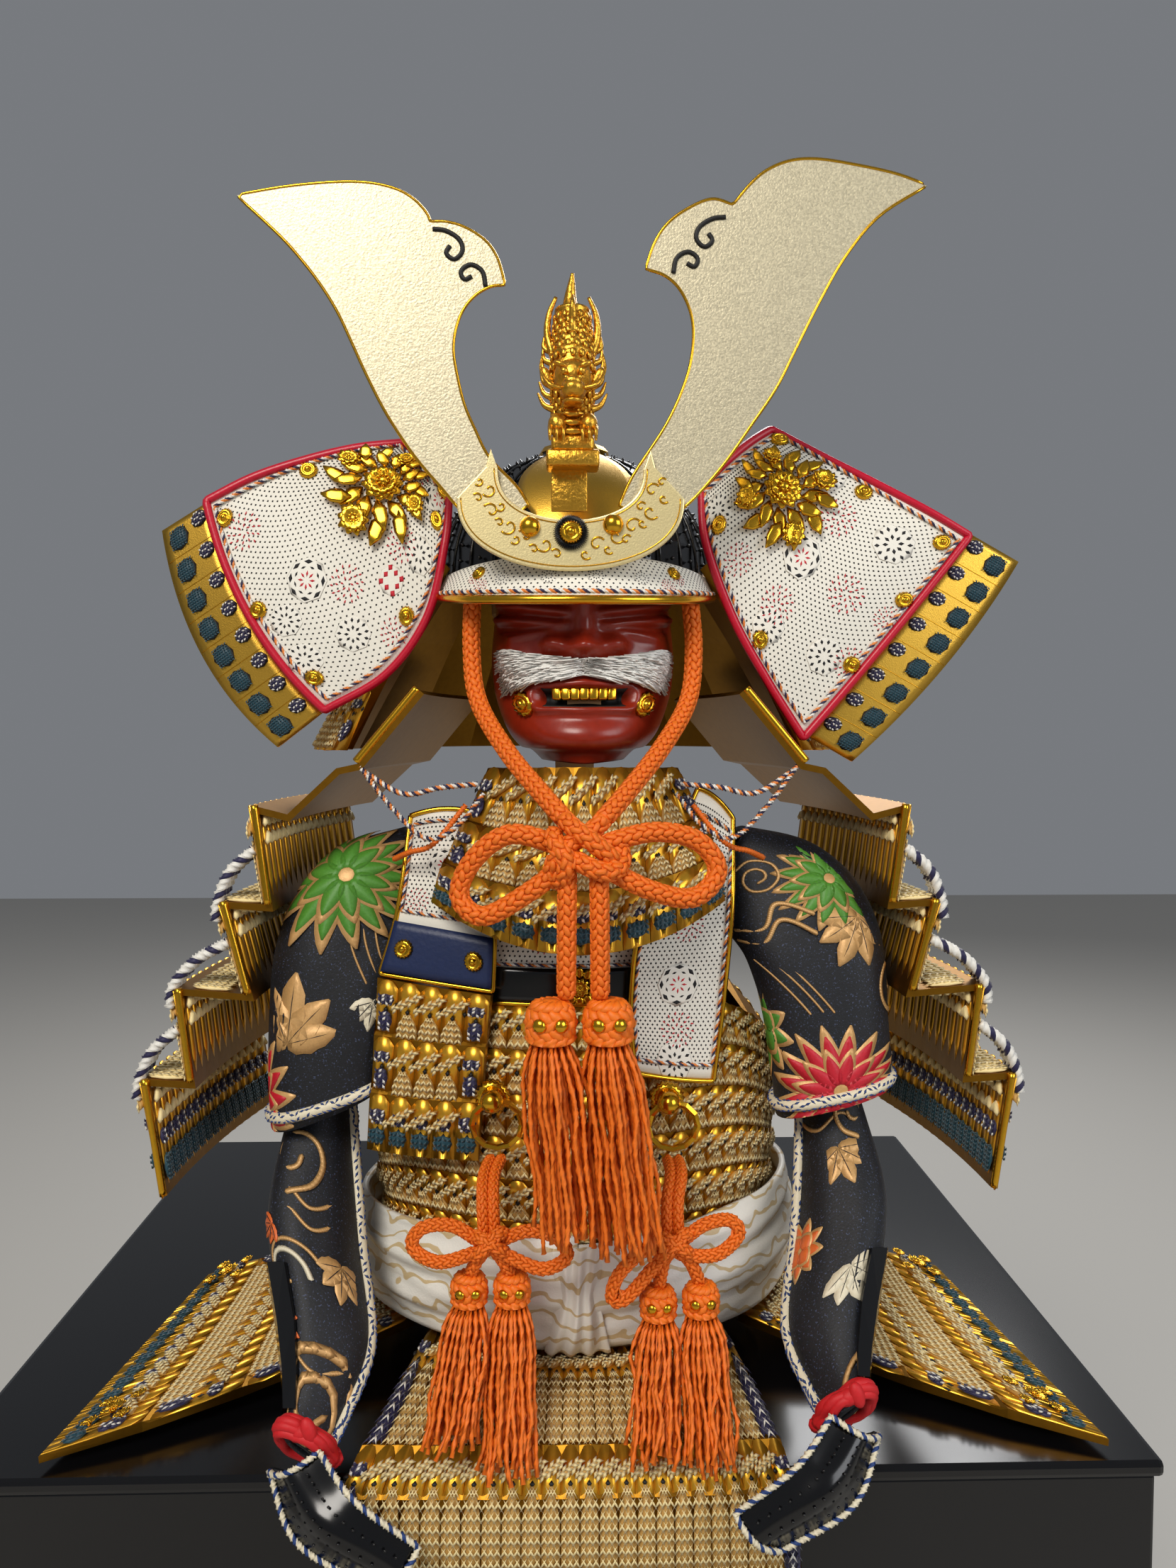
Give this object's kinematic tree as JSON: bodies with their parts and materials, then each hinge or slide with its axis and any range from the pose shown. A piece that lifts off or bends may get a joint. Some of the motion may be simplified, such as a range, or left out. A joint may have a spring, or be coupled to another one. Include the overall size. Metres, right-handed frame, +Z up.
{
  "type": "samurai armour on a limbless armour stand and lacquered chest",
  "caption": "Display samurai armour: horned helmet, mask, laced cuirass and skirts, brocade sleeves and tassels, on a stand on its lacquered chest.",
  "frame": {"origin": "centre of the stand's post carried down to the floor, in the plane of the chest's underside", "axes": "+Z up, the armour faces -Y, +X is the viewer's right"},
  "size_m": [0.37, 0.3077, 0.6753],
  "materials": {
    "black_lacquer": "black urushi lacquer, mirror gloss",
    "black_iron": "black lacquered metal with riveted ridges",
    "red_lacquer": "red-brown lacquer, satin",
    "gilt_metal": "gilt and chased, polished",
    "frosted_gilt": "pale gilt, sanded, with polished rim",
    "gilt_lames": "gilt lames, satin, rounded tips",
    "printed_leather": "off-white deerskin print, black dots and flower medallions",
    "coloured_leather": "red edging and dark blue band",
    "white_hair": "white hair",
    "orange_braid": "round braided silk, twisted tassel threads",
    "ecru_lacing": "flat braid, herringbone, ecru to gold",
    "coloured_lacing": "teal herringbone and navy with white twisted edge braid",
    "white_silk": "white silk brocade with gold swirls",
    "brocade": "navy twill brocade with flowers, leaves and waves",
    "bare_wood": "pale planed wood"
  },
  "bodies": {
    "root": {"armour_stand": "bare_wood", "back_plate": "printed_leather", "chest_box": "black_lacquer", "chest_lid": "black_lacquer", "chest_plate": "printed_leather", "chin_bow": "orange_braid", "chin_cord_left": "orange_braid", "chin_cord_right": "orange_braid", "crown_ring": "gilt_metal", "cuirass": "gilt_lames", "dragon_crest": "gilt_metal", "face_mask": "red_lacquer", "forearm_left": "brocade", "forearm_right": "brocade", "forearm_splint_left": "black_lacquer", "forearm_splint_right": "black_lacquer", "hand_guard_left": "black_lacquer", "hand_guard_right": "black_lacquer", "helmet_bowl": "black_iron", "horn_base": "gilt_metal", "horn_left": "frosted_gilt", "horn_right": "frosted_gilt", "left_breast_board": "printed_leather", "moustache": "white_hair", "neck_guard": "gilt_lames", "peony_mount_left": "gilt_metal", "peony_mount_right": "gilt_metal", "right_breast_cap": "printed_leather", "right_breast_lames": "gilt_lames", "ring_left": "gilt_metal", "ring_right": "gilt_metal", "sash": "white_silk", "shoulder_strap_left": "printed_leather", "shoulder_strap_right": "printed_leather", "side_cord_left": "orange_braid", "side_cord_right": "orange_braid", "side_tassel_left_inner": "orange_braid", "side_tassel_left_outer": "orange_braid", "side_tassel_right_inner": "orange_braid", "side_tassel_right_outer": "orange_braid", "skirt_back": "gilt_lames", "skirt_front": "gilt_lames", "skirt_left": "gilt_lames", "skirt_right": "gilt_lames", "sleeve_left": "brocade", "sleeve_right": "brocade", "sode_left": "gilt_lames", "sode_right": "gilt_lames", "tail_cord_left": "orange_braid", "tail_cord_right": "orange_braid", "tassel_left": "orange_braid", "tassel_right": "orange_braid", "throat_guard": "gilt_lames", "visor": "printed_leather", "wing_left": "printed_leather", "wing_right": "printed_leather", "wing_strip_left": "gilt_lames", "wing_strip_right": "gilt_lames", "wrist_tie_left": "orange_braid", "wrist_tie_right": "orange_braid"}
  },
  "joints": []
}
